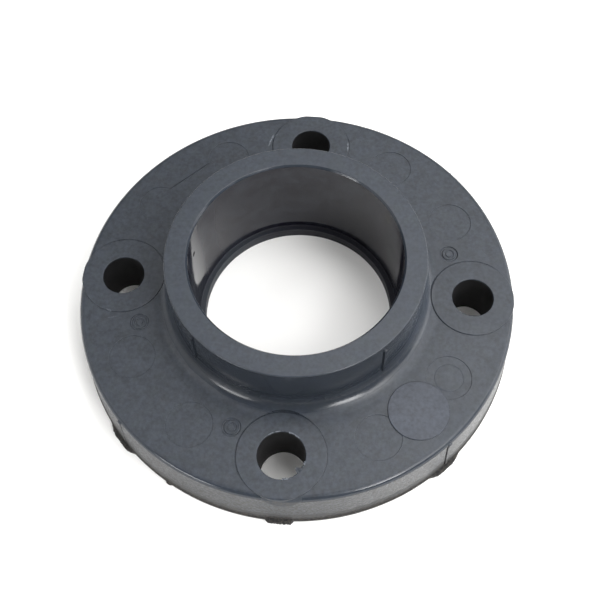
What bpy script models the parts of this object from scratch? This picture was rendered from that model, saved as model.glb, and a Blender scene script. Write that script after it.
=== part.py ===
"""A companion flange: a one-piece moulded socket flange for plastic pipe.

The flange lies on its mating face, with the hub and its pipe socket pointing up.
The origin is the middle of the mating face, +Z runs up the bore, and the bolt
holes lie on the X and Y axes. All sizes are in metres and all angles in degrees.
"""
import math

import bmesh
import bpy
from mathutils import Matrix, Vector

# Overall form
FLANGE_THICKNESS = 0.0258
OVERALL_HEIGHT = 0.0532

# Rim of the flange: a drafted wall above the mould's parting line, a lip below it
RIM_TOP_RADIUS = 0.0942
RIM_FOOT_RADIUS = 0.0955
RIM_EDGE_ROUND = 0.0026
PARTING_HEIGHT = 0.0032
PARTING_STEP = 0.00025
FOOT_EDGE_BREAK = 0.0005

# Hub that stands on the flange
HUB_TOP_RADIUS = 0.0542
HUB_DRAFT_ANGLE = 0.75
HUB_FILLET = 0.0080
HUB_EDGE_BREAK = 0.0003

# Socket for the pipe, the ledge that the pipe stops on, and the throat below it
SOCKET_DEPTH = 0.0478
SOCKET_MOUTH_RADIUS = 0.04465
SOCKET_FOOT_RADIUS = 0.04435
MOUTH_CHAMFER_WIDTH = 0.00075
MOUTH_CHAMFER_DEPTH = 0.0009
THROAT_RADIUS = 0.0420
THROAT_EDGE_BREAK = 0.0003

# Bolt holes and the flat bosses round them; one hole has been drilled out
BOLT_COUNT = 4
BOLT_CIRCLE_RADIUS = 0.0762
BOLT_HOLE_RADIUS = 0.00892
DRILLED_HOLE_RADIUS = 0.00973
DRILLED_HOLE_ANGLE = 270.0
HOLE_EDGE_BREAK = 0.00025
BOSS_RADIUS = 0.0180
BOSS_RAISE = 0.0004

# Marks of the mould on the flange's face
PIN_MARK_RADIUS = 0.00953
PIN_MARK_DEPTH = 0.00015
PIN_MARK_SPREAD = 15.0
DISC_RADIUS = 0.01266
DISC_RAISE = 0.00025
DISC_ANGLE = 315.0
PANEL_ANGLE = 135.0
PANEL_OUTER_DISTANCE = 0.0777
PANEL_LENGTH = 0.0248
PANEL_WIDTH = 0.0090
PANEL_DEPTH = 0.0003

# Parting seams midway between the bolt holes, on the hub and on the rim
HUB_SEAM_WIDTH = 0.0014
HUB_SEAM_STAND = 0.0008
HUB_SEAM_TOP_GAP = 0.0037
RIM_SEAM_WIDTH = 0.0008
RIM_SEAM_STAND = 0.0003

# Stubs of the mould's gates at the foot of the rim
GATE_ANGLES = (225.0, 270.0, 315.0)
GATE_STAND = 0.0018
GATE_FOOT_WIDTH = 0.0140
GATE_CREST_WIDTH = 0.0066
GATE_BOTTOM = 0.0002
GATE_TOP = 0.0027

# How finely round shapes are divided
TURN_STEPS = 96
FILLET_STEPS = 7
EDGE_STEPS = 4
BOSS_STEPS = 56
MARK_STEPS = 32
HOLE_STEPS = 36

# How far a joined piece is sunk into the body, and a cutter reaches past it
SINK = 0.0020
REACH = 0.0050
MERGE_DISTANCE = 0.00001

# Sizes that follow from the ones above
SOCKET_FLOOR = OVERALL_HEIGHT - SOCKET_DEPTH
BOSS_TOP = FLANGE_THICKNESS + BOSS_RAISE
HUB_WALL_FOOT = FLANGE_THICKNESS + HUB_FILLET
HUB_DRAFT = math.tan(math.radians(HUB_DRAFT_ANGLE))
HUB_FOOT_RADIUS = HUB_TOP_RADIUS + HUB_DRAFT * (OVERALL_HEIGHT - HUB_WALL_FOOT)
RIM_WALL_TOP = FLANGE_THICKNESS - RIM_EDGE_ROUND
BOLT_ANGLES = [360.0 * i / BOLT_COUNT for i in range(BOLT_COUNT)]
SEAM_ANGLES = [angle + 180.0 / BOLT_COUNT for angle in BOLT_ANGLES]
PIN_ANGLES = [seam + side * PIN_MARK_SPREAD for seam in SEAM_ANGLES for side in (-1, 1)]

COLOUR = (0.105, 0.115, 0.125, 1.0)
ROUGHNESS = 0.38


def clear_scene():
    for obj in list(bpy.data.objects):
        bpy.data.objects.remove(obj, do_unlink=True)


def new_collection(name):
    collection = bpy.data.collections.new(name)
    bpy.context.scene.collection.children.link(collection)
    return collection


def grey_plastic():
    material = bpy.data.materials.new("grey_pipe_plastic")
    material.use_nodes = True
    shader = material.node_tree.nodes["Principled BSDF"]
    shader.inputs["Base Color"].default_value = COLOUR
    shader.inputs["Roughness"].default_value = ROUGHNESS
    shader.inputs["Metallic"].default_value = 0.0
    return material


def polar(radius, angle, height=0.0):
    turn = math.radians(angle)
    return Vector((radius * math.cos(turn), radius * math.sin(turn), height))


def arc(centre, radius, start, end, steps):
    """Points in the profile's plane from one angle to the other, both ends included."""
    points = []
    for i in range(steps + 1):
        turn = math.radians(start + (end - start) * i / steps)
        points.append((centre[0] + radius * math.cos(turn), centre[1] + radius * math.sin(turn)))
    return points


def body_profile():
    """The flange's section as (radius, height), from the mouth down the outside and back up the bore."""
    fillet_centre = (HUB_FOOT_RADIUS + HUB_FILLET, HUB_WALL_FOOT)
    edge_centre = (RIM_TOP_RADIUS - RIM_EDGE_ROUND, RIM_WALL_TOP)
    lip_radius = RIM_FOOT_RADIUS + PARTING_STEP
    hub_side = [
        (SOCKET_MOUTH_RADIUS + MOUTH_CHAMFER_WIDTH, OVERALL_HEIGHT),
        (HUB_TOP_RADIUS - HUB_EDGE_BREAK, OVERALL_HEIGHT),
        (HUB_TOP_RADIUS, OVERALL_HEIGHT - HUB_EDGE_BREAK),
    ]
    fillet = arc(fillet_centre, HUB_FILLET, 180.0, 270.0, FILLET_STEPS)
    rim_edge = arc(edge_centre, RIM_EDGE_ROUND, 90.0, 0.0, EDGE_STEPS)
    rim_foot = [
        (RIM_FOOT_RADIUS, PARTING_HEIGHT),
        (lip_radius, PARTING_HEIGHT - PARTING_STEP),
        (lip_radius, FOOT_EDGE_BREAK),
        (lip_radius - FOOT_EDGE_BREAK, 0.0),
    ]
    bore = [
        (THROAT_RADIUS + THROAT_EDGE_BREAK, 0.0),
        (THROAT_RADIUS, THROAT_EDGE_BREAK),
        (THROAT_RADIUS, SOCKET_FLOOR),
        (SOCKET_FOOT_RADIUS, SOCKET_FLOOR),
        (SOCKET_MOUTH_RADIUS, OVERALL_HEIGHT - MOUTH_CHAMFER_DEPTH),
    ]
    return hub_side + fillet + rim_edge + rim_foot + bore


def hole_profile(radius):
    """Half a bolt hole's section, with both of its edges broken, from above the boss to below the foot."""
    wide = radius + HOLE_EDGE_BREAK
    return [
        (0.0, BOSS_TOP + REACH),
        (wide, BOSS_TOP + REACH),
        (wide, BOSS_TOP),
        (radius, BOSS_TOP - HOLE_EDGE_BREAK),
        (radius, HOLE_EDGE_BREAK),
        (wide, 0.0),
        (wide, -REACH),
        (0.0, -REACH),
    ]


def turned(name, profile, closed, steps, place, collection):
    """A solid turned about its own Z axis from a profile that runs down its outer side."""
    mesh = bpy.data.meshes.new(name)
    count = len(profile)
    edges = [(i, i + 1) for i in range(count - 1)]
    if closed:
        edges.append((count - 1, 0))
    mesh.from_pydata([(radius, 0.0, height) for radius, height in profile], edges, [])
    obj = bpy.data.objects.new(name, mesh)
    obj.location = place
    collection.objects.link(obj)
    screw = obj.modifiers.new("turn", "SCREW")
    screw.steps = steps
    screw.render_steps = steps
    screw.use_merge_vertices = True
    screw.merge_threshold = MERGE_DISTANCE
    return obj


def discs(name, places, radius, bottom, top, steps, collection):
    """Upright cylinders of one size, side by side in one object."""
    work = bmesh.new()
    for place in places:
        matrix = Matrix.Translation((place.x, place.y, (bottom + top) / 2))
        bmesh.ops.create_cone(work, cap_ends=True, segments=steps, radius1=radius, radius2=radius,
                              depth=top - bottom, matrix=matrix)
    return solid_from(work, name, collection)


def block(name, angle, inner, outer, width, bottom, top, collection, lean=0.0):
    """A box across the radius at one angle, which leans outwards to its foot by an angle."""
    length = outer - inner
    height = top - bottom
    place = Matrix.Rotation(math.radians(angle), 4, "Z") @ Matrix.Translation((outer, 0.0, bottom))
    tilt = Matrix.Rotation(math.radians(-lean), 4, "Y")
    shift = Matrix.Translation((-length / 2, 0.0, height / 2))
    size = Matrix.Diagonal((length, width, height, 1.0))
    work = bmesh.new()
    bmesh.ops.create_cube(work, size=1.0, matrix=place @ tilt @ shift @ size)
    return solid_from(work, name, collection)


def plate(name, outline, bottom, top, angle, collection):
    """A flat outline, given as (x, y) at angle zero, made into a plate and turned into place."""
    curve = bpy.data.curves.new(name + "_outline", "CURVE")
    curve.dimensions = "2D"
    curve.fill_mode = "BOTH"
    curve.extrude = (top - bottom) / 2
    spline = curve.splines.new("POLY")
    spline.points.add(len(outline) - 1)
    for point, (x, y) in zip(spline.points, outline):
        point.co = (x, y, 0.0, 1.0)
    spline.use_cyclic_u = True
    guide = bpy.data.objects.new(name + "_outline", curve)
    guide.location.z = (bottom + top) / 2
    guide.rotation_euler.z = math.radians(angle)
    collection.objects.link(guide)
    bpy.context.view_layer.update()
    shape = guide.evaluated_get(bpy.context.evaluated_depsgraph_get())
    mesh = bpy.data.meshes.new_from_object(shape)
    obj = bpy.data.objects.new(name, mesh)
    obj.matrix_world = guide.matrix_world
    collection.objects.link(obj)
    bpy.data.objects.remove(guide, do_unlink=True)
    work = bmesh.new()
    work.from_mesh(mesh)
    bmesh.ops.remove_doubles(work, verts=work.verts, dist=MERGE_DISTANCE)
    bmesh.ops.recalc_face_normals(work, faces=work.faces)
    work.to_mesh(mesh)
    work.free()
    return obj


def solid_from(work, name, collection):
    mesh = bpy.data.meshes.new(name)
    work.to_mesh(mesh)
    work.free()
    obj = bpy.data.objects.new(name, mesh)
    collection.objects.link(obj)
    return obj


def combine(body, tool, operation):
    """Joins the tool to the body or cuts it away, and hides the tool."""
    tool.hide_render = True
    tool.display_type = "WIRE"
    boolean = body.modifiers.new(tool.name, "BOOLEAN")
    boolean.operation = operation
    boolean.solver = "EXACT"
    boolean.object = tool


def mould_marks(body, tools):
    """Sinks the pin marks and the bare panel, and raises the bare disc."""
    pins = [polar(BOLT_CIRCLE_RADIUS, angle) for angle in PIN_ANGLES]
    pin_floor = FLANGE_THICKNESS - PIN_MARK_DEPTH
    pin_cut = discs("pin_marks", pins, PIN_MARK_RADIUS, pin_floor, FLANGE_THICKNESS + REACH,
                    MARK_STEPS, tools)
    combine(body, pin_cut, "DIFFERENCE")
    panel_floor = FLANGE_THICKNESS - PANEL_DEPTH
    panel_cut = block("panel", PANEL_ANGLE, PANEL_OUTER_DISTANCE - PANEL_WIDTH, PANEL_OUTER_DISTANCE,
                      PANEL_LENGTH, panel_floor, FLANGE_THICKNESS + REACH, tools)
    combine(body, panel_cut, "DIFFERENCE")
    disc_place = [polar(BOLT_CIRCLE_RADIUS, DISC_ANGLE)]
    disc = discs("disc", disc_place, DISC_RADIUS, FLANGE_THICKNESS - SINK, FLANGE_THICKNESS + DISC_RAISE,
                 MARK_STEPS, tools)
    combine(body, disc, "UNION")


def bosses(body, tools):
    """Faces the hub's fillet away over each boss, then adds the boss itself."""
    places = [polar(BOLT_CIRCLE_RADIUS, angle) for angle in BOLT_ANGLES]
    facing = discs("boss_facing", places, BOSS_RADIUS, BOSS_TOP, HUB_WALL_FOOT + REACH, BOSS_STEPS, tools)
    combine(body, facing, "DIFFERENCE")
    sunk = RIM_WALL_TOP - SINK
    combine(body, discs("bosses", places, BOSS_RADIUS, sunk, BOSS_TOP, BOSS_STEPS, tools), "UNION")


def seams(body, tools):
    """Raised parting seams up the hub's wall and the rim's wall, midway between the bolts."""
    rim_lean = math.degrees(math.atan2(RIM_FOOT_RADIUS - RIM_TOP_RADIUS, RIM_WALL_TOP - PARTING_HEIGHT))
    for i, angle in enumerate(SEAM_ANGLES):
        hub_outer = HUB_FOOT_RADIUS + HUB_SEAM_STAND
        hub_seam = block(f"hub_seam_{i}", angle, HUB_TOP_RADIUS - SINK, hub_outer, HUB_SEAM_WIDTH,
                         HUB_WALL_FOOT - HUB_FILLET / 2, OVERALL_HEIGHT - HUB_SEAM_TOP_GAP, tools)
        combine(body, hub_seam, "UNION")
        rim_outer = RIM_FOOT_RADIUS + RIM_SEAM_STAND
        rim_seam = block(f"rim_seam_{i}", angle, rim_outer - SINK, rim_outer, RIM_SEAM_WIDTH,
                         PARTING_HEIGHT - PARTING_STEP, RIM_WALL_TOP + RIM_EDGE_ROUND / 2, tools, rim_lean)
        combine(body, rim_seam, "UNION")


def gate_stubs(body, tools):
    """Broken-off gates at the foot of the rim, between the mating face and the parting line."""
    root = RIM_FOOT_RADIUS - SINK
    crest = RIM_FOOT_RADIUS + PARTING_STEP + GATE_STAND
    flare = (GATE_FOOT_WIDTH - GATE_CREST_WIDTH) / 2 / GATE_STAND
    root_half = GATE_CREST_WIDTH / 2 + flare * (crest - root)
    outline = [
        (root, -root_half),
        (crest, -GATE_CREST_WIDTH / 2),
        (crest, GATE_CREST_WIDTH / 2),
        (root, root_half),
    ]
    for i, angle in enumerate(GATE_ANGLES):
        stub = plate(f"gate_stub_{i}", outline, GATE_BOTTOM, GATE_TOP, angle, tools)
        combine(body, stub, "UNION")


def bolt_holes(body, tools):
    for i, angle in enumerate(BOLT_ANGLES):
        radius = DRILLED_HOLE_RADIUS if angle == DRILLED_HOLE_ANGLE else BOLT_HOLE_RADIUS
        place = polar(BOLT_CIRCLE_RADIUS, angle)
        drill = turned(f"bolt_hole_{i}", hole_profile(radius), False, HOLE_STEPS, place, tools)
        combine(body, drill, "DIFFERENCE")


def settle(body):
    """Turns the body and all its cuts into one mesh, shaded smooth with sharp edges kept."""
    bpy.context.view_layer.update()
    shape = body.evaluated_get(bpy.context.evaluated_depsgraph_get())
    mesh = bpy.data.meshes.new_from_object(shape)
    mesh.name = body.name
    body.modifiers.clear()
    body.data = mesh
    mesh.shade_smooth()
    mesh.set_sharp_from_angle(angle=math.radians(30.0))


def main():
    clear_scene()
    parts = new_collection("companion_flange")
    tools = new_collection("cutters")
    body = turned("flange", body_profile(), True, TURN_STEPS, (0.0, 0.0, 0.0), parts)
    mould_marks(body, tools)
    bosses(body, tools)
    seams(body, tools)
    gate_stubs(body, tools)
    bolt_holes(body, tools)
    settle(body)
    body.data.materials.clear()
    body.data.materials.append(grey_plastic())


main()
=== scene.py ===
"""Looks for the companion flange: a fine mesh of the moulded body, its plastic, lights and camera.

Shapes are built in millimetres and scaled to metres at the end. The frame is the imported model's:
the origin is the middle of the mating face and +Z runs up the bore.
"""
import math
from functools import reduce
from types import SimpleNamespace

import bmesh
import bpy
from mathutils import Matrix, Vector, noise


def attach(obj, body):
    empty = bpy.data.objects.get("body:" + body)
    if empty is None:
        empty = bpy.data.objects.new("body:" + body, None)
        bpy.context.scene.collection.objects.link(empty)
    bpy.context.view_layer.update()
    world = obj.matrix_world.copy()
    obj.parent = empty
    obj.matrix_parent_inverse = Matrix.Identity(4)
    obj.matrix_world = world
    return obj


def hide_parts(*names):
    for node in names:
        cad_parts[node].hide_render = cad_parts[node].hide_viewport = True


MM = 0.001

# Sizes of the body, in millimetres, as in the CAD source
HEIGHT = 53.2
FACE = 25.8
HUB_TOP = 54.2
HUB_FOOT = 54.454
HUB_FILLET = 8.0
SOCKET_FLOOR = 5.4
SOCKET_MOUTH = 44.65
SOCKET_FOOT = 44.35
THROAT = 42.0
RIM_TOP = 94.2
RIM_FOOT = 95.5
RIM_ROUND = 2.6
LIP = 95.75
PARTING = 3.2
BOLT_CIRCLE = 76.2
BOLT_HOLE = 8.92
DRILLED_HOLE = 9.73
BOSS = 18.0
BOSS_TOP = FACE + 0.4
PIN_MARK = 9.53
DISC = 12.66

# Finer sizes, in millimetres
MOUTH_FLARE = 0.75
MOUTH_DEPTH = 1.0
HOLE_EASE = 0.35
PIN_FLOOR = FACE - 0.25
PIN_EDGE = 0.2
DISC_TOP = FACE + 0.4
STAMP = 3.4
STAMP_CIRCLE = 69.2
PIN_RING = 6.0
PIT_BALL = 0.9
PIMPLE_BALL = 0.55
TIP_ROUND = 0.9
STUB_ROOT = 94.0
STUB_FOOT = 95.2
STUB_BOTTOM = 0.15

# Angles round the bore, in degrees
DRILLED_ANGLE = 270.0
BOLT_ANGLES = (0.0, 90.0, 180.0, DRILLED_ANGLE)
SEAM_ANGLES = (45.0, 135.0, 225.0, 315.0)
LUG_ANGLES = (225.0, 315.3)
PIN_ANGLES = (30.0, 60.0, 120.0, 150.0, 210.0, 240.0, 300.0, 330.0)
RINGED_PIN_ANGLE = 330.0
STAMP_ANGLES = (17.9, -161.4, -107.7)
PANEL_ANGLE = 134.8

# The round disc's place as (radius, angle)
DISC_PLACE = (75.9, 315.2)

# Places as (radius, angle, height): a pit in the socket's wall, its spot of painted shade, a pimple
# on the hub's wall, a smear in the socket and the worn tip of the near boss
PIT = (44.9, 174.0, 40.2)
PIT_SPOT = (44.6, 174.0, 40.2)
PIMPLE = (54.3, -109.8, 34.2)
SMEAR = (44.6, 33.0, 46.0)
WORN_TIP = (93.6, -89.0, 26.0)

# Broken-off gates as (foot's first and last angle, crest's first and last angle, reach, top, seed)
STUBS = (
    (-94.0, -86.0, -92.4, -87.3, 96.8, 4.6, 3.0),
    (-51.4, -38.0, -47.6, -43.6, 97.0, 4.2, 11.0),
    (-144.0, -130.0, -138.2, -134.0, 97.2, 3.4, 23.0),
    (-121.0, -118.2, -120.0, -119.2, 96.1, 1.9, 41.0),
)

# Burrs on the drilled hole as (first angle, last angle, reach, rise, seed), angles about the hole
BURRS = (
    (46.0, 84.0, 0.35, 0.3, 5.0),
    (90.0, 128.0, 0.3, 0.3, 9.0),
    (-45.0, -22.0, 2.3, -0.15, 14.0),
    (-20.0, -11.0, 0.5, 0.3, 33.0),
    (-84.0, -62.0, 0.8, 0.3, 21.0),
)

# Steps round or along each shape
TURN_STEPS = 288
BOSS_STEPS = 144
DISC_STEPS = 128
HOLE_STEPS = 96
PIN_STEPS = 96
BURR_STEPS = 40
STUB_CELLS = (72, 14)

# Distances within which points become one: in new shapes, after a boolean, and for bad edges there
WELD = 1e-5
MERGE = 0.001
DEGENERATE = 0.0005

# Edges that bend more than this many degrees are shaded as sharp
SHARP_ANGLE = 38.0


def around(centre, radius, turn):
    """The point at a radius and an angle in radians about a centre."""
    return (centre[0] + radius * math.cos(turn), centre[1] + radius * math.sin(turn))


def place(radius, angle):
    """The point at a radius and an angle in degrees about the bore."""
    return around((0.0, 0.0), radius, math.radians(angle))


def eased(share):
    """A share from 0 to 1 with a soft start and end."""
    return share * share * (3 - 2 * share)


def limited(share):
    return max(0.0, min(1.0, share))


def arc(centre, radius, start, end, steps):
    """Points on an arc between two angles in degrees."""
    return [around(centre, radius, math.radians(start + (end - start) * i / steps))
            for i in range(steps + 1)]


def rounded(corners, closed=False):
    """A polyline of (x, y, radius, steps) corners, each with a radius rounded by an arc."""
    points = []
    count = len(corners)
    for i, (x, y, radius, steps) in enumerate(corners):
        ends = not closed and i in (0, count - 1)
        if radius == 0 or ends:
            points.append((x, y))
            continue
        here = Vector((x, y))
        before = Vector(corners[i - 1][:2]) - here
        after = Vector(corners[(i + 1) % count][:2]) - here
        before.normalize()
        after.normalize()
        half = before.angle(after) / 2
        reach = radius / math.tan(half)
        centre = here + (before + after).normalized() * (radius / math.sin(half))
        first = here + before * reach - centre
        last = here + after * reach - centre
        start = math.atan2(first.y, first.x)
        sweep = math.atan2(last.y, last.x) - start
        sweep = (sweep + math.pi) % (2 * math.pi) - math.pi
        for k in range(steps + 1):
            points.append(around(centre, radius, start + sweep * k / steps))
    return points


def body_profile():
    """The section as (radius, height), down the outside from the mouth and back up the bore."""
    outside = rounded([
        (SOCKET_MOUTH + MOUTH_FLARE, HEIGHT, 0, 0),
        (HUB_TOP, HEIGHT, 0.6, 4),
        (HUB_FOOT, FACE + HUB_FILLET + 0.01, 0, 0),
    ])
    fillet = arc((HUB_FOOT + HUB_FILLET, FACE + HUB_FILLET), HUB_FILLET, 180.0, 270.0, 20)
    edge = arc((RIM_TOP - RIM_ROUND, FACE - RIM_ROUND), RIM_ROUND, 90.0, 0.0, 10)
    foot = rounded([
        (RIM_TOP, FACE - RIM_ROUND - 0.01, 0, 0),
        (RIM_FOOT, PARTING, 0.15, 2),
        (LIP, PARTING - 0.25, 0.15, 2),
        (LIP, 0.0, 1.3, 6),
        (THROAT, 0.0, 0.3, 2),
        (THROAT, SOCKET_FLOOR, 0.3, 3),
        (SOCKET_FOOT, SOCKET_FLOOR, 0.35, 3),
        (SOCKET_MOUTH, HEIGHT - MOUTH_DEPTH, 0.3, 3),
        (SOCKET_MOUTH + MOUTH_FLARE, HEIGHT, 0.25, 3),
        (HUB_TOP, HEIGHT, 0, 0),
    ])
    return outside[1:] + fillet + edge + foot[1:-1]


def turned(profile, steps, closed=False, centre=(0.0, 0.0)):
    """Mesh data for a solid turned about a vertical axis through the centre."""
    verts, faces = [], []
    rows = []
    for radius, height in profile:
        row = []
        if radius < 1e-9:
            row = [len(verts)] * steps
            verts.append((centre[0], centre[1], height))
        else:
            for k in range(steps):
                row.append(len(verts))
                verts.append((*around(centre, radius, 2 * math.pi * k / steps), height))
        rows.append(row)
    pairs = list(zip(rows, rows[1:]))
    if closed:
        pairs.append((rows[-1], rows[0]))
    for upper, lower in pairs:
        for k in range(steps):
            n = (k + 1) % steps
            face = []
            for v in (upper[k], lower[k], lower[n], upper[n]):
                if v not in face:
                    face.append(v)
            if len(face) > 2:
                faces.append(face)
    return verts, faces


def through(sections, closed):
    """Mesh data for a solid through sections of points, closed round or with capped ends."""
    verts = [point for section in sections for point in section]
    faces = []
    count, size = len(sections), len(sections[0])
    for k in range(count if closed else count - 1):
        n = (k + 1) % count
        for i in range(size):
            m = (i + 1) % size
            faces.append([k * size + i, k * size + m, n * size + m, n * size + i])
    if not closed:
        faces.append(list(reversed(range(size))))
        faces.append([(count - 1) * size + i for i in range(size)])
    return verts, faces


def block(size, spot, ease=0.0):
    """Mesh data for a block of a size put in its place, with eased edges where an ease is given."""
    work = bmesh.new()
    bmesh.ops.create_cube(work, size=1.0)
    bmesh.ops.transform(work, matrix=Matrix.Diagonal((*size, 1.0)), verts=work.verts)
    if ease:
        bmesh.ops.bevel(work, geom=list(work.edges), offset=ease, segments=2, affect="EDGES",
                        profile=0.5)
    bmesh.ops.transform(work, matrix=spot, verts=work.verts)
    verts = [tuple(v.co) for v in work.verts]
    work.verts.index_update()
    faces = [[v.index for v in face.verts] for face in work.faces]
    work.free()
    return verts, faces


def new_object(name, data_list):
    """One object from several meshes' data, with its faces turned outwards."""
    verts, faces = [], []
    for more_verts, more_faces in data_list:
        start = len(verts)
        verts.extend(more_verts)
        faces.extend([[v + start for v in face] for face in more_faces])
    mesh = bpy.data.meshes.new(name)
    mesh.from_pydata(verts, [], faces)
    work = bmesh.new()
    work.from_mesh(mesh)
    bmesh.ops.remove_doubles(work, verts=work.verts, dist=WELD)
    bmesh.ops.recalc_face_normals(work, faces=work.faces)
    work.to_mesh(mesh)
    work.free()
    obj = bpy.data.objects.new(name, mesh)
    bpy.context.scene.collection.objects.link(obj)
    return obj


def apply_boolean(body, tool, operation):
    """Changes the body by a tool object, which is used up."""
    boolean = body.modifiers.new(tool.name, "BOOLEAN")
    boolean.operation = operation
    boolean.solver = "EXACT"
    boolean.object = tool
    bpy.context.view_layer.update()
    shape = body.evaluated_get(bpy.context.evaluated_depsgraph_get())
    mesh = bpy.data.meshes.new_from_object(shape)
    body.modifiers.clear()
    body.data = mesh
    work = bmesh.new()
    work.from_mesh(mesh)
    bmesh.ops.remove_doubles(work, verts=work.verts, dist=MERGE)
    bmesh.ops.dissolve_degenerate(work, edges=work.edges, dist=DEGENERATE)
    work.to_mesh(mesh)
    work.free()
    old = tool.data
    bpy.data.objects.remove(tool, do_unlink=True)
    bpy.data.meshes.remove(old)


def cut(body, name, data_list):
    apply_boolean(body, new_object(name, data_list), "DIFFERENCE")


def join(body, name, data_list):
    apply_boolean(body, new_object(name, data_list), "UNION")


def pad(centre, radius, bottom, top, edge, steps):
    """A round pad with a rounded upper edge and a closed foot."""
    profile = rounded([
        (0.0, top, 0, 0),
        (radius, top, edge, 3),
        (radius, bottom, 0, 0),
        (0.0, bottom, 0, 0),
    ])
    return turned(profile, steps, centre=centre)


def sink(centre, radius, floor, edge, steps):
    """A round cutter that flares at the face, so the sunk place gets a rounded rim."""
    wide, above = radius + edge, FACE + 3.0
    profile = [(0.0, above), (wide, above), (wide, FACE)]
    profile += arc((wide, FACE - edge), edge, 90.0, 180.0, 3)[1:]
    profile += [(radius, floor), (0.0, floor)]
    return turned(profile, steps, centre=centre)


def groove(centre, radius, width, depth, level, steps):
    """A ring cutter with sloping sides and a rounded floor, for a face at a level."""
    half = width / 2
    narrow = half * 0.5
    corner = depth * 0.85
    lift = 0.3
    wide = half + (half - narrow) / corner * lift
    profile = [
        (radius - wide, level + lift),
        (radius + wide, level + lift),
        (radius + narrow, level - corner),
        (radius, level - depth),
        (radius - narrow, level - corner),
    ]
    return turned(profile, steps, closed=True, centre=centre)


def ring_mark(centre):
    """A small stamped ring with a fainter one inside it."""
    return [
        groove(centre, STAMP, width=1.2, depth=0.5, level=FACE, steps=48),
        groove(centre, STAMP * 0.52, width=0.9, depth=0.35, level=FACE, steps=36),
    ]


def hole(centre, radius):
    """A bolt hole's cutter with both edges eased."""
    wide, beyond = radius + HOLE_EASE, 4.0
    profile = [(0.0, BOSS_TOP + beyond), (wide, BOSS_TOP + beyond), (wide, BOSS_TOP)]
    profile += arc((wide, BOSS_TOP - HOLE_EASE), HOLE_EASE, 90.0, 180.0, 3)[1:]
    profile += arc((wide, HOLE_EASE), HOLE_EASE, 180.0, 270.0, 3)
    profile += [(wide, -beyond), (0.0, -beyond)]
    return turned(profile, HOLE_STEPS, centre=centre)


def rib(angle, inner, outer, width, bottom, top, lean, ease):
    """An upright rib with eased edges, which leans outwards to its foot."""
    spot = Matrix.Rotation(math.radians(angle), 4, "Z") @ Matrix.Translation((outer, 0.0, bottom))
    tilt = Matrix.Rotation(math.radians(-lean), 4, "Y")
    shift = Matrix.Translation(((inner - outer) / 2, 0.0, (top - bottom) / 2))
    return block((outer - inner, width, top - bottom), spot @ tilt @ shift, ease)


def panel_cut():
    """The cutter for the bare sunk panel, with its outer edge across the radius."""
    length, width, depth, reach, tall = 24.8, 9.0, 0.3, 77.7, 2.0
    spot = Matrix.Translation((reach - width / 2, 0.0, FACE - depth + tall / 2))
    return block((width, length, tall), Matrix.Rotation(math.radians(PANEL_ANGLE), 4, "Z") @ spot)


def shell_patch(first, last, top, outer):
    """A block on the rim, whose outer side is given by a function of angle and height."""
    verts, faces = [], []
    across, up = STUB_CELLS

    def index(side, i, k):
        return (side * (across + 1) + i) * (up + 1) + k

    def quad(a, b, c, d):
        faces.append([index(*a), index(*b), index(*c), index(*d)])

    for side in (0, 1):
        for i in range(across + 1):
            angle = first + (last - first) * i / across
            for k in range(up + 1):
                radius, height = STUB_ROOT, STUB_BOTTOM + (top - STUB_BOTTOM) * k / up
                if side:
                    radius, height = outer(angle, height)
                verts.append((*place(radius, angle), height))
    for side in (0, 1):
        for i in range(across):
            for k in range(up):
                quad((side, i, k), (side, i + 1, k), (side, i + 1, k + 1), (side, i, k + 1))
    for i in range(across):
        for k in (0, up):
            quad((0, i, k), (0, i + 1, k), (1, i + 1, k), (1, i, k))
    for i in (0, across):
        for k in range(up):
            quad((0, i, k), (0, i, k + 1), (1, i, k + 1), (1, i, k))
    return verts, faces


def gate_stub(foot_first, foot_last, crest_first, crest_last, reach, top, seed):
    """A broken-off gate: it swells from the rim to a torn, uneven crest."""
    def outer(angle, height):
        if angle < crest_first:
            swell = (angle - foot_first) / (crest_first - foot_first)
        elif angle > crest_last:
            swell = (foot_last - angle) / (foot_last - crest_last)
        else:
            swell = 1.0
        swell = eased(limited(swell))
        torn = noise.noise(Vector((angle * 1.9, height * 0.8, seed)))
        fine = noise.noise(Vector((angle * 4.5, height * 1.4, seed + 7.0)))
        level = (height - STUB_BOTTOM) / (top - STUB_BOTTOM)
        lean = 1.0 - eased(max(0.0, level - 0.5) / 0.5)
        rough = (0.2 + 0.8 * lean) * (0.36 * torn + 0.3 * fine)
        radius = STUB_FOOT + (reach - STUB_FOOT) * swell * lean + swell * rough
        lift = height + (0.25 * fine + 0.2 * torn) * level * swell
        return radius, lift
    return shell_patch(foot_first, foot_last, top, outer)


def ball(spot, radius):
    """A small ball at a place given by its radius, angle and height."""
    profile = arc((0.0, spot[2]), radius, 90.0, -90.0, 8)
    profile[0] = (0.0, spot[2] + radius)
    profile[-1] = (0.0, spot[2] - radius)
    return turned(profile, 16, centre=place(spot[0], spot[1]))


def boss_groove(angle):
    """The cutter for the fine groove round a boss, which runs out towards the rim."""
    centre = place(BOLT_CIRCLE, angle)
    above = FACE + 4.0
    sections = []
    for k in range(BOSS_STEPS):
        turn = 360.0 * k / BOSS_STEPS
        away = abs((turn - angle + 180.0) % 360.0 - 180.0)
        floor = FACE + 0.1 - 0.23 * limited((away - 32.0) / 40.0)
        section = (
            (BOSS + 0.62, above),
            (BOSS + 0.55, floor + 0.25),
            (BOSS + 0.32, floor),
            (BOSS - 0.05, floor + 0.05),
            (BOSS - 0.3, above),
        )
        sections.append([(*around(centre, radius, math.radians(turn)), height)
                         for radius, height in section])
    return through(sections, closed=True)


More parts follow.
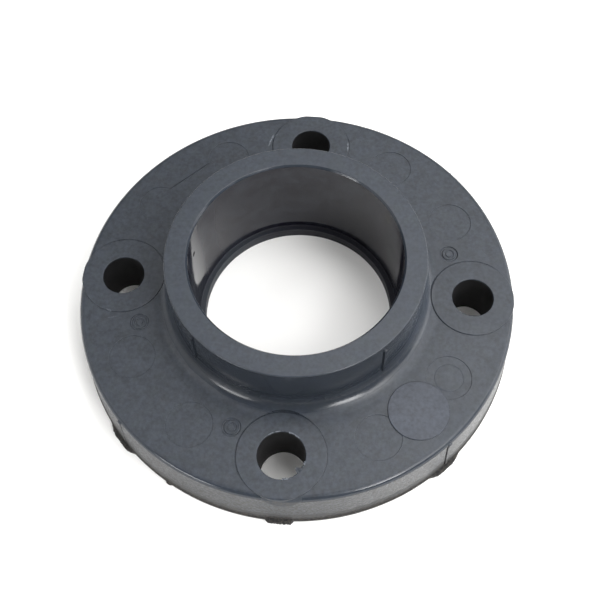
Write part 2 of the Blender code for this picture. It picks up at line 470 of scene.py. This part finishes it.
def burr(centre, radius, first, last, reach, rise, seed):
    """A ragged sliver left along a drilled hole's edge, which thins out at both ends."""
    sections = []
    for k in range(BURR_STEPS + 1):
        share = k / BURR_STEPS
        fade = 0.06 + 0.94 * math.sin(math.pi * share) ** 0.6
        torn = 0.5 + noise.noise(Vector((share * (last - first) * 0.16, seed, 0.5)))
        fine = 0.5 + noise.noise(Vector((share * (last - first) * 0.35, seed + 4.0, 0.5)))
        inner = radius - reach * fade * max(0.05, torn)
        top = BOSS_TOP + 0.06 + rise * fade * max(0.0, fine)
        turn = math.radians(first + (last - first) * share)
        section = (
            (inner, BOSS_TOP - 0.4 - 0.4 * fade * fine),
            (radius + 0.4, BOSS_TOP - 0.9),
            (radius + 0.55, BOSS_TOP + 0.03),
            (radius + 0.2, top),
            (inner + 0.06, top - 0.08),
        )
        sections.append([(*around(centre, along, turn), height) for along, height in section])
    return through(sections, closed=False)


def tip_trim():
    """The cutter that rounds the bosses' tips where they meet the rim."""
    profile = arc((RIM_TOP - TIP_ROUND, BOSS_TOP - TIP_ROUND), TIP_ROUND, 90.0, 0.0, 6)
    profile = [(reach + 0.01, height + 0.01) for reach, height in profile]
    profile += [(RIM_TOP + 0.01, 20.0), (100.0, 20.0), (100.0, 40.0), (RIM_TOP - TIP_ROUND, 40.0)]
    return turned(profile, TURN_STEPS, closed=True)


def add_face_marks(body):
    """Sunk round pin marks, the sunk panel, the raised disc and the stamped rings."""
    pins = [sink(place(BOLT_CIRCLE, a), PIN_MARK, PIN_FLOOR, PIN_EDGE, PIN_STEPS)
            for a in PIN_ANGLES]
    cut(body, "pins", pins)
    cut(body, "panel", [panel_cut()])
    disc = pad(place(*DISC_PLACE), DISC, bottom=FACE - 2.0, top=DISC_TOP, edge=0.3,
               steps=DISC_STEPS)
    join(body, "disc", [disc])
    rings = []
    for angle in STAMP_ANGLES:
        rings += ring_mark(place(STAMP_CIRCLE, angle))
    rings.append(groove(place(BOLT_CIRCLE, RINGED_PIN_ANGLE), PIN_RING, width=0.6, depth=0.1,
                        level=PIN_FLOOR, steps=64))
    cut(body, "rings", rings)


def add_bosses(body):
    """The raised bolt bosses with the fine groove round each and their tips rounded at the rim."""
    facing, bosses = [], []
    wide, floor, above = BOSS + 0.08, BOSS_TOP - 0.3, 40.0
    for angle in BOLT_ANGLES:
        centre = place(BOLT_CIRCLE, angle)
        clear = [(0.0, above), (wide, above), (wide, floor), (0.0, floor)]
        facing.append(turned(clear, BOSS_STEPS, centre=centre))
        bosses.append(pad(centre, BOSS, bottom=20.0, top=BOSS_TOP, edge=0.25, steps=BOSS_STEPS))
    cut(body, "facing", facing)
    cut(body, "boss_grooves", [boss_groove(angle) for angle in BOLT_ANGLES])
    raised = new_object("bosses", bosses)
    cut(raised, "tip_trim", [tip_trim()])
    apply_boolean(body, raised, "UNION")


def add_seams(body):
    """The mould's seams on the hub and the rim, with a slot beside each rim seam and two lugs."""
    ribs, slots = [], []
    rim_lean = math.degrees(math.atan2(RIM_FOOT - RIM_TOP, FACE - RIM_ROUND - PARTING))
    for angle in SEAM_ANGLES:
        ribs.append(rib(angle, inner=52.0, outer=HUB_FOOT + 0.75, width=1.7,
                        bottom=29.0, top=49.4, lean=0.4, ease=0.35))
        ribs.append(rib(angle, inner=93.5, outer=RIM_FOOT + 0.3, width=1.1,
                        bottom=2.9, top=24.0, lean=rim_lean, ease=0.25))
        slots.append(rib(angle - 0.56, inner=RIM_FOOT - 0.5, outer=RIM_FOOT + 3.0, width=0.8,
                         bottom=4.5, top=23.6, lean=rim_lean, ease=0.2))
    cut(body, "slots", slots)
    join(body, "ribs", ribs)
    lugs = [rib(angle, inner=92.6, outer=RIM_TOP + 0.7, width=2.0,
                bottom=21.9, top=24.6, lean=rim_lean, ease=0.5) for angle in LUG_ANGLES]
    join(body, "lugs", lugs)


def build_body():
    body = new_object("flange_body", [turned(body_profile(), TURN_STEPS, closed=True)])
    add_face_marks(body)
    add_bosses(body)
    add_seams(body)
    cut(body, "pit", [ball(PIT, PIT_BALL)])
    join(body, "pimple", [ball(PIMPLE, PIMPLE_BALL)])
    join(body, "stubs", [gate_stub(*stub) for stub in STUBS])
    holes = [hole(place(BOLT_CIRCLE, angle), DRILLED_HOLE if angle == DRILLED_ANGLE else BOLT_HOLE)
             for angle in BOLT_ANGLES]
    cut(body, "holes", holes)
    drilled = place(BOLT_CIRCLE, DRILLED_ANGLE)
    join(body, "burrs", [burr(drilled, DRILLED_HOLE, *sliver) for sliver in BURRS])
    return body


def dress(body):
    """Scales the body to metres and gives it smooth shading with flat faces kept flat."""
    body.data.transform(Matrix.Scale(MM, 4))
    body.data.shade_smooth()
    body.data.set_sharp_from_angle(angle=math.radians(SHARP_ANGLE))
    weigh = body.modifiers.new("weigh", "WEIGHTED_NORMAL")
    weigh.mode = "FACE_AREA"
    weigh.keep_sharp = True
    weigh.weight = 50


class Nodes:
    """Short calls for building a material's node tree, and the values at the shaded place."""

    def __init__(self, material):
        material.use_nodes = True
        self.tree = material.node_tree
        self.shader = self.tree.nodes["Principled BSDF"]
        self.where = self.add("TexCoord").outputs["Object"]
        self.x, self.y, self.z = self.split(self.where)
        self.radius = self.length(self.x, self.y)
        self.angle = self.math("ARCTAN2", self.y, self.x)

    def add(self, kind, **values):
        node = self.tree.nodes.new("ShaderNode" + kind)
        for name, value in values.items():
            setattr(node, name, value)
        return node

    def put(self, socket, value):
        if isinstance(value, (int, float, tuple)):
            socket.default_value = value
        else:
            self.tree.links.new(value, socket)

    def put_all(self, node, **values):
        """Fills inputs by their names, written with underscores for spaces."""
        for name, value in values.items():
            self.put(node.inputs[name.replace("_", " ")], value)

    def split(self, vector):
        node = self.add("SeparateXYZ")
        self.put(node.inputs[0], vector)
        return node.outputs

    def vector(self, *parts):
        node = self.add("CombineXYZ")
        for socket, part in zip(node.inputs, parts):
            self.put(socket, part)
        return node.outputs[0]

    def math(self, operation, a, b=0.0):
        node = self.add("Math", operation=operation)
        for socket, value in zip(node.inputs, (a, b)):
            self.put(socket, value)
        return node.outputs[0]

    def product(self, *values):
        return reduce(lambda a, b: self.math("MULTIPLY", a, b), values)

    def total(self, *values):
        return reduce(lambda a, b: self.math("ADD", a, b), values)

    def largest(self, *values):
        return reduce(lambda a, b: self.math("MAXIMUM", a, b), values)

    def minus(self, a, b):
        return self.math("SUBTRACT", a, b)

    def length(self, *sides):
        return self.math("SQRT", self.total(*[self.product(side, side) for side in sides]))

    def ramp(self, value, low, high, out_low=0.0, out_high=1.0, smooth=True):
        """A value that goes from one number to another between two limits."""
        node = self.add("MapRange", interpolation_type="SMOOTHSTEP" if smooth else "LINEAR")
        self.put_all(node, Value=value, From_Min=low, From_Max=high,
                     To_Min=out_low, To_Max=out_high)
        return node.outputs[0]

    def fade(self, mask, outside, inside):
        """One value outside a mask and another inside it."""
        return self.ramp(mask, 0.0, 1.0, outside, inside, smooth=False)

    def away(self, spot):
        """The distance from a place given as (radius, angle, height)."""
        centre = (*place(spot[0] * MM, spot[1]), spot[2] * MM)
        sides = [self.minus(value, middle)
                 for value, middle in zip((self.x, self.y, self.z), centre)]
        return self.length(*sides)

    def noise(self, scale, detail, roughness, shift=None, where=None):
        """A noise over the shaded place, which may be shifted, or over another vector."""
        vector = where or self.where
        if shift:
            mapping = self.add("Mapping")
            self.put_all(mapping, Vector=vector, Location=shift)
            vector = mapping.outputs[0]
        node = self.add("TexNoise")
        self.put_all(node, Vector=vector, Scale=scale, Detail=detail, Roughness=roughness)
        return node.outputs["Fac"]

    def mix(self, factor, a, b):
        """A mix of two colours, which are inputs 6 and 7 and output 2 of the node."""
        node = self.add("Mix", data_type="RGBA")
        for number, value in ((0, factor), (6, a), (7, b)):
            self.put(node.inputs[number], value)
        return node.outputs[2]

    def scaled(self, colour, factor):
        node = self.add("VectorMath", operation="SCALE")
        self.put(node.inputs[0], colour)
        self.put(node.inputs["Scale"], factor)
        return node.outputs[0]

    def bump(self, height, distance, normal=None):
        node = self.add("Bump")
        self.put_all(node, Height=height, Strength=1.0, Distance=distance)
        if normal:
            self.put(node.inputs["Normal"], normal)
        return node.outputs["Normal"]


# The plastic's usual grey, and its bluer, greener and browner patches
GREY = (0.0243, 0.0292, 0.0370, 1.0)
GREY_BLUE = (0.0239, 0.0287, 0.0377, 1.0)
GREY_GREEN = (0.0242, 0.0295, 0.0362, 1.0)
GREY_BROWN = (0.0251, 0.0290, 0.0363, 1.0)

# The disc's grey, lighter and bluer as a painted sheen, and the painted shade in the bolt holes,
# socket and throat
DISC_SHEEN_GREY = (0.0305, 0.0360, 0.0485, 1.0)
SHADE_AND_TORN_DARK = (0.0058, 0.0056, 0.0062, 1.0)
SOCKET_SHADE_GREY = (0.0040, 0.0033, 0.0080, 1.0)
THROAT_SHADE_GREY = (0.0066, 0.0068, 0.0125, 1.0)

# Rubbed marks and painted highlights, the rim's pale grain and the smear in the socket
RUBBED_AND_GLINT = (0.20, 0.22, 0.25, 1.0)
RIM_CREAM = (0.058, 0.050, 0.040, 1.0)
SMEARED = (0.050, 0.050, 0.026, 1.0)

PLASTIC_IOR = 1.38

# Rubbed marks on the flange's face, two of them painted highlights on bosses' edges, as (radius,
# angle, half length, half width, turn, strength)
SCUFFS_AND_GLINTS = (
    (80.3, 103.9, 4.0, 0.45, 76.0, 0.9),
    (82.6, 102.4, 2.0, 0.30, 40.0, 0.6),
    # The next two lie on the edges of the far and the left boss: painted highlights
    (78.8, 77.1, 2.8, 0.35, 92.0, 0.8),
    (81.4, -167.6, 1.3, 0.35, -20.0, 0.55),
    (80.2, -165.2, 2.2, 0.30, 15.0, 0.25),
)


def find_places(n):
    """The places on the part that look different, each as a factor, and the shared patterns.

    Limits are in metres from the frame's origin, and those of angles are in radians.
    """
    at = SimpleNamespace()

    # Patterns
    at.speck = n.noise(1000.0, 2.0, 0.6, shift=(0.19, 0.03, 0.37))
    at.clouds = n.noise(70.0, 3.0, 0.6)
    at.crack = n.ramp(n.noise(900.0, 3.0, 0.65, shift=(0.07, 0.29, 0.11)), 0.44, 0.58)
    ragged = n.total(n.z, n.ramp(n.noise(210.0, 5.0, 0.7), 0.3, 0.7, -0.0010, 0.0010))

    # The flange's face with its disc, and the hub's face
    rim_edge = n.largest(n.ramp(n.radius, 0.0930, 0.0925), n.ramp(n.z, 0.0252, 0.0257))
    at.face = n.product(n.ramp(n.radius, 0.0565, 0.0608), n.ramp(n.z, 0.0246, 0.0256), rim_edge)
    at.disc = n.ramp(n.away((*DISC_PLACE, DISC_TOP)), (DISC + 0.1) * MM, (DISC - 0.3) * MM)
    at.tip = n.product(n.ramp(n.away(WORN_TIP), 0.0095, 0.0065), n.ramp(n.z, 0.0262, 0.0258))
    at.hub_face = n.ramp(n.z, 0.05305, 0.05315)

    # The bolt holes' walls, where near-black painted shade goes, and the frayed edge of the last
    # one, which is the drilled hole
    walls = []
    for bearing in BOLT_ANGLES:
        middle = place(BOLT_CIRCLE * MM, bearing)
        wide = (DRILLED_HOLE if bearing == DRILLED_ANGLE else BOLT_HOLE) * MM
        away = n.length(n.minus(n.x, middle[0]), n.minus(n.y, middle[1]))
        walls.append(n.ramp(away, wide + 0.0003, wide + 0.0001))
    at.bored = n.product(n.largest(*walls), n.ramp(n.z, 0.0259, 0.0253))
    at.frayed = n.product(n.ramp(away, 0.0106, 0.0104), n.ramp(n.z, 0.02625, 0.02635))

    # The socket's wall, its duller parts, its pit, the ledge and the throat
    at.socket = n.product(n.ramp(n.radius, 0.04490, 0.04472), n.ramp(n.z, 0.0526, 0.0518),
                          n.ramp(n.z, 0.0056, 0.0062))
    right = n.product(n.ramp(n.angle, 0.10, 0.32), n.ramp(n.angle, 1.7, 1.0))
    left = n.product(n.ramp(n.angle, 1.9, 2.3), n.ramp(n.angle, 3.06, 2.74))
    at.duller = n.product(n.total(right, left), at.socket)
    at.dullest = n.product(n.ramp(n.angle, 2.35, 2.65), n.ramp(n.angle, 3.02, 2.80), at.socket)
    at.pit = n.ramp(n.away(PIT_SPOT), 0.0014, 0.0010)
    at.ledge = n.product(n.ramp(n.radius, 0.0446, 0.0444), n.ramp(n.z, 0.0060, 0.0056))
    at.throat = n.product(n.ramp(n.radius, 0.0450, 0.0447), n.ramp(n.z, 0.0064, 0.0058))

    # The hub's wall and its fillet
    at.hub_wall = n.product(n.ramp(n.radius, 0.0600, 0.0550), n.ramp(n.z, 0.0531, 0.0526),
                            n.ramp(n.radius, 0.0500, 0.0510))
    at.fillet = n.product(at.hub_wall, n.ramp(n.z, 0.0345, 0.0315))

    # The rim, its lower half, its foot, the band of painted shade there, and the torn gates
    on_rim = n.ramp(n.radius, 0.0925, 0.0930)
    past_rim = n.ramp(n.radius, 0.0930, 0.0935)
    at.rim = n.product(on_rim, n.ramp(n.z, 0.0245, 0.0232))
    at.lower_rim = n.product(on_rim, n.ramp(ragged, 0.0100, 0.0082))
    at.foot = n.product(past_rim, n.ramp(ragged, 0.0054, 0.0040))
    at.dark_foot = n.product(past_rim, n.ramp(ragged, 0.0066, 0.0050),
                             n.ramp(n.y, -0.020, -0.065, 0.35, 0.95))
    at.torn = n.product(n.ramp(n.radius, 0.0957, 0.0960), n.ramp(n.z, 0.0066, 0.0056))
    return at


def grain_and_painted_shade_of(n, at):
    """How much lighter or darker the plastic is than its colour: a grain, and painted shade and
    light on the rim's wall and the hub's wall.
    """
    fine, mottle = n.noise(640.0, 2.0, 0.6), n.noise(240.0, 2.0, 0.5, shift=(0.13, 0.41, 0.23))
    fleck = n.total(n.ramp(fine, 0.2, 0.8, -0.24, 0.24), n.ramp(mottle, 0.25, 0.75, -0.10, 0.10))
    fleck = n.product(fleck, n.fade(n.largest(at.face, n.product(at.hub_face, 0.7)), 0.3, 1.0))
    shade = n.total(n.ramp(at.clouds, 0.25, 0.75, 0.95, 1.05), fleck)
    # Painted shade and light on the hub's wall: darker at the front, lighter towards both sides
    sideways = n.math("ABSOLUTE", n.total(n.angle, 0.5 * math.pi))
    painted_wall_shade = n.ramp(sideways, 0.80, 1.35, 0.74, 1.30)
    # Painted shade on the rim: its wall darker, and darker again on its lower half and at its foot
    for mask, inside in (
        (at.rim, 0.80),
        (at.hub_wall, painted_wall_shade),
        (at.lower_rim, 0.60),
        (at.foot, 0.35),
        (at.hub_face, 1.10),
    ):
        shade = n.product(shade, n.fade(mask, 1.0, inside))
    return shade


def rubbed_and_glinting_marks(n, at):
    """Where the flange's face is rubbed, and where a painted highlight lies on a boss's edge, as a
    factor frayed by a fine noise.
    """
    marks = []
    for reach, bearing, half_length, half_width, turn, strength in SCUFFS_AND_GLINTS:
        mapping = n.add("Mapping", vector_type="TEXTURE")
        n.put_all(mapping, Vector=n.where, Location=(*place(reach * MM, bearing), 0.0),
                  Rotation=(0.0, 0.0, math.radians(turn)),
                  Scale=(half_length * MM, half_width * MM, 1.0))
        along, across, _ = n.split(mapping.outputs[0])
        far = n.total(n.product(along, along), n.product(across, across))
        marks.append(n.product(n.ramp(far, 1.3, 0.1), strength))
    fray = n.ramp(n.noise(1500.0, 3.0, 0.7), 0.35, 0.65)
    return n.product(n.largest(*marks), fray, at.face)


def colour_of(n, at):
    """Patches of bluer, greener and browner grey, shaded, with the part's other colours over it."""
    patches = n.noise(230.0, 2.0, 0.55)
    others = n.noise(260.0, 2.0, 0.55, shift=(0.31, 0.17, 0.05))
    colour = n.mix(n.ramp(patches, 0.42, 0.62), GREY, GREY_BLUE)
    colour = n.mix(n.ramp(patches, 0.46, 0.32), colour, GREY_GREEN)
    colour = n.mix(n.ramp(others, 0.56, 0.70), colour, GREY_BROWN)
    # Painted sheen: the raised disc lighter and bluer
    colour = n.mix(at.disc, colour, DISC_SHEEN_GREY)
    colour = n.scaled(colour, grain_and_painted_shade_of(n, at))
    # Painted shade in the socket: its wall far darker than the plastic, in patches
    socket_mottle = n.total(n.noise(150.0, 3.0, 0.6, shift=(0.23, 0.11, 0.47)), n.product(at.speck, 0.4))
    patchy_socket_shade = n.ramp(socket_mottle, 0.52, 0.86, 0.58, 1.0)
    # Painted shade in the throat, fading towards the -X side
    throat_shade_fade = n.ramp(n.x, -0.0077, -0.0357, 0.9, 0.25)
    smear = n.ramp(n.away(SMEAR), 0.0042, 0.0010)
    for factor, tint in (
        (n.product(at.socket, patchy_socket_shade), SOCKET_SHADE_GREY),
        # Near-black painted shade at the rim's foot, stronger towards the front
        (at.dark_foot, SHADE_AND_TORN_DARK),
        (n.product(at.throat, throat_shade_fade), THROAT_SHADE_GREY),
        (n.product(at.torn, at.crack, 0.85), SHADE_AND_TORN_DARK),
        (n.product(at.rim, n.ramp(at.speck, 0.42, 0.62), 0.42), RIM_CREAM),
        (n.product(smear, 0.30, at.socket), SMEARED),
        # Near-black painted shade on the bolt holes' walls and the pit's spot
        (n.largest(at.bored, at.pit), SHADE_AND_TORN_DARK),
        (n.product(at.frayed, 0.4), RUBBED_AND_GLINT),
        (rubbed_and_glinting_marks(n, at), RUBBED_AND_GLINT),
    ):
        colour = n.mix(factor, colour, tint)
    return colour


def roughness_of(n, at):
    """Matte on the flange's face and glossy on the walls, with duller places."""
    rough = n.minus(n.fade(at.face, 0.14, 0.40), n.product(at.socket, 0.08))
    rim_rough = n.total(n.ramp(n.x, 0.007, 0.043, 0.47, 0.36),
                        n.ramp(at.speck, 0.35, 0.65, -0.10, 0.08))
    for mask, least in (
        (at.fillet, 0.29),
        (at.duller, 0.22),
        (at.dullest, 0.30),
        (n.largest(at.bored, at.pit), 0.62),
        (at.throat, 0.55),
        (at.rim, rim_rough),
        (at.tip, 0.62),
        (at.lower_rim, 0.50),
        (n.largest(at.dark_foot, at.torn), 0.70),
        (at.foot, 0.66),
    ):
        rough = n.largest(rough, n.product(mask, least))
    return n.total(rough, n.product(at.hub_face, 0.28), n.ramp(at.clouds, 0.3, 0.7, -0.02, 0.03))


def relief_of(n, at):
    """Grain on the face, cracks on the torn gates, turning marks, the rim's grit and a wave."""
    grain = n.total(n.noise(1100.0, 3.0, 0.6), n.product(n.noise(190.0, 2.0, 0.5), 2.0))
    round_bore = n.vector(n.radius, n.product(n.x, 0.008), n.product(n.y, 0.008))
    turned_marks = n.noise(2600.0, 3.0, 0.7, where=round_bore)
    down_throat = n.vector(n.minus(n.radius, n.z), n.product(n.x, 0.023), n.product(n.y, 0.023))
    stripes = n.noise(900.0, 2.0, 0.6, where=down_throat)
    grit = n.product(at.speck, at.rim, n.ramp(n.x, -0.056, 0.034, 0.6, 1.0))
    walls = n.minus(1.0, n.largest(at.face, at.hub_face))
    normal = None
    for height, distance in (
        (n.product(grain, at.face), 0.000022),
        (n.product(at.crack, at.torn), 0.00025),
        (n.product(turned_marks, n.largest(at.hub_face, at.ledge)), 0.000010),
        (n.product(stripes, at.throat), 0.00025),
        (grit, 0.00020),
        (n.product(n.noise(55.0, 2.0, 0.5), walls), 0.00003),
    ):
        normal = n.bump(height, distance, normal)
    return normal


def grey_plastic():
    """Moulded grey pipe plastic."""
    material = bpy.data.materials.new("grey_pipe_plastic")
    n = Nodes(material)
    at = find_places(n)
    n.put_all(n.shader, Base_Color=colour_of(n, at), Roughness=roughness_of(n, at),
              Normal=relief_of(n, at), IOR=PLASTIC_IOR)
    return material


FLOOR_HALF = 4.0
FLOOR_WHITE = (0.965, 0.96, 0.945, 1.0)


def add_floor():
    mesh = bpy.data.meshes.new("floor")
    corners = [(x * FLOOR_HALF, y * FLOOR_HALF, 0) for x, y in ((-1, -1), (1, -1), (1, 1), (-1, 1))]
    mesh.from_pydata(corners, [], [(0, 1, 2, 3)])
    floor = bpy.data.objects.new("floor", mesh)
    bpy.context.scene.collection.objects.link(floor)
    material = bpy.data.materials.new("floor_white")
    material.use_nodes = True
    shader = material.node_tree.nodes["Principled BSDF"]
    shader.inputs["Base Color"].default_value = FLOOR_WHITE
    shader.inputs["Roughness"].default_value = 0.9
    shader.inputs["Specular IOR Level"].default_value = 0.1
    mesh.materials.append(material)


LIGHT_DISTANCE = 1.6
WORLD_BRIGHTNESS = 0.08

# Soft lights round the part as (name, azimuth, elevation, degrees across, degrees high, brightness)
LIGHTS = (
    ("left_low", -128.0, 13.0, 22.0, 9.0, 16.80),
    ("left_side", 184.0, 20.0, 64.0, 34.0, 1.15),
    ("left_middle", 190.0, 50.0, 60.0, 18.0, 2.40),
    ("left_high", 158.0, 64.0, 84.0, 20.0, 1.30),
    ("front_high", -112.0, 73.0, 62.0, 14.0, 2.70),
    ("front_low", -90.0, 25.0, 40.0, 48.0, 0.09),
    ("right_front", -54.0, 33.0, 18.0, 16.0, 19.50),
    ("right_front_beside", -36.0, 36.0, 26.0, 14.0, 4.23),
    ("right_front_wide", -40.0, 50.0, 34.0, 26.0, 2.40),
    ("right_front_high", -22.0, 60.0, 40.0, 16.0, 4.00),
    ("right_middle", -8.0, 40.0, 60.0, 44.0, 3.45),
    ("right_back", 38.0, 47.0, 26.0, 40.0, 3.38),
    ("right_low", 24.0, 15.0, 56.0, 20.0, 3.01),
    ("back", 78.0, 56.0, 52.0, 20.0, 3.01),
    ("top", 54.0, 74.5, 84.0, 14.0, 7.80),
)


def direction(azimuth, elevation):
    """The direction outwards at an azimuth and an elevation in radians."""
    flat = math.cos(elevation)
    return Vector((flat * math.cos(azimuth), flat * math.sin(azimuth), math.sin(elevation)))


def add_light(name, azimuth, elevation, across, high, brightness):
    """A soft rectangular light at a distance, looking at the part's middle."""
    turn, rise = math.radians(azimuth), math.radians(elevation)
    data = bpy.data.lights.new(name, "AREA")
    data.shape = "RECTANGLE"
    data.size = 2.0 * LIGHT_DISTANCE * math.tan(math.radians(across) / 2.0) * math.cos(rise)
    data.size_y = 2.0 * LIGHT_DISTANCE * math.tan(math.radians(high) / 2.0)
    data.energy = brightness * math.pi * data.size * data.size_y
    lamp = bpy.data.objects.new(name, data)
    bpy.context.scene.collection.objects.link(lamp)
    out = direction(turn, rise)
    lamp.location = out * LIGHT_DISTANCE
    lamp.rotation_euler = out.to_track_quat("Z", "Y").to_euler()


def add_lights():
    for light in LIGHTS:
        add_light(*light)
    world = bpy.data.worlds.new("studio")
    bpy.context.scene.world = world
    world.use_nodes = True
    back = world.node_tree.nodes["Background"]
    back.inputs["Color"].default_value = (1.0, 1.0, 1.0, 1.0)
    back.inputs["Strength"].default_value = WORLD_BRIGHTNESS


# The camera, found from the photograph by fitting the part's circles
CAMERA_ELEVATION = 63.1297
CAMERA_AZIMUTH = -83.1673
CAMERA_DISTANCE = 0.426816
CAMERA_TURNS = (-2.46708, 1.81991, 2.28662)
FOCAL_PIXELS = 926.939
IMAGE_CENTRE = (326.317, 272.125)
IMAGE_SIZE = 600.0
SENSOR = 36.0


def add_camera():
    turn, rise = math.radians(CAMERA_AZIMUTH), math.radians(CAMERA_ELEVATION)
    back = direction(turn, rise)
    right = Vector((-math.sin(turn), math.cos(turn), 0.0))
    base = Matrix((right, back.cross(right), back))
    pitch, yaw, roll = (math.radians(a) for a in CAMERA_TURNS)
    turns = (Matrix.Rotation(roll, 3, "Z") @ Matrix.Rotation(yaw, 3, "Y")
             @ Matrix.Rotation(pitch, 3, "X"))
    world_to_camera = turns @ base
    matrix = world_to_camera.transposed().to_4x4()
    matrix.translation = back * CAMERA_DISTANCE
    data = bpy.data.cameras.new("camera")
    data.sensor_width = SENSOR
    data.sensor_fit = "HORIZONTAL"
    data.lens = FOCAL_PIXELS / IMAGE_SIZE * SENSOR
    data.shift_x = 0.5 - IMAGE_CENTRE[0] / IMAGE_SIZE
    data.shift_y = IMAGE_CENTRE[1] / IMAGE_SIZE - 0.5
    data.clip_start = 0.01
    camera = bpy.data.objects.new("camera", data)
    bpy.context.scene.collection.objects.link(camera)
    camera.matrix_world = matrix
    bpy.context.scene.camera = camera


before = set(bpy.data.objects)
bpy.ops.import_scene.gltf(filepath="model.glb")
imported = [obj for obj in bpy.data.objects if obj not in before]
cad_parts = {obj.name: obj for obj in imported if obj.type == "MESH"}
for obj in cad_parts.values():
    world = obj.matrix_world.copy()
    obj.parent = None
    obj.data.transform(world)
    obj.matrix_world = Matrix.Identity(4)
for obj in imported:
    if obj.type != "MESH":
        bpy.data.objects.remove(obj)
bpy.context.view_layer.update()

body = build_body()
dress(body)
body.data.materials.clear()
body.data.materials.append(grey_plastic())
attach(body, "root")
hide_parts("flange")

add_floor()
add_lights()
add_camera()
bpy.context.scene.view_settings.view_transform = "Standard"
bpy.context.scene.view_settings.look = "None"
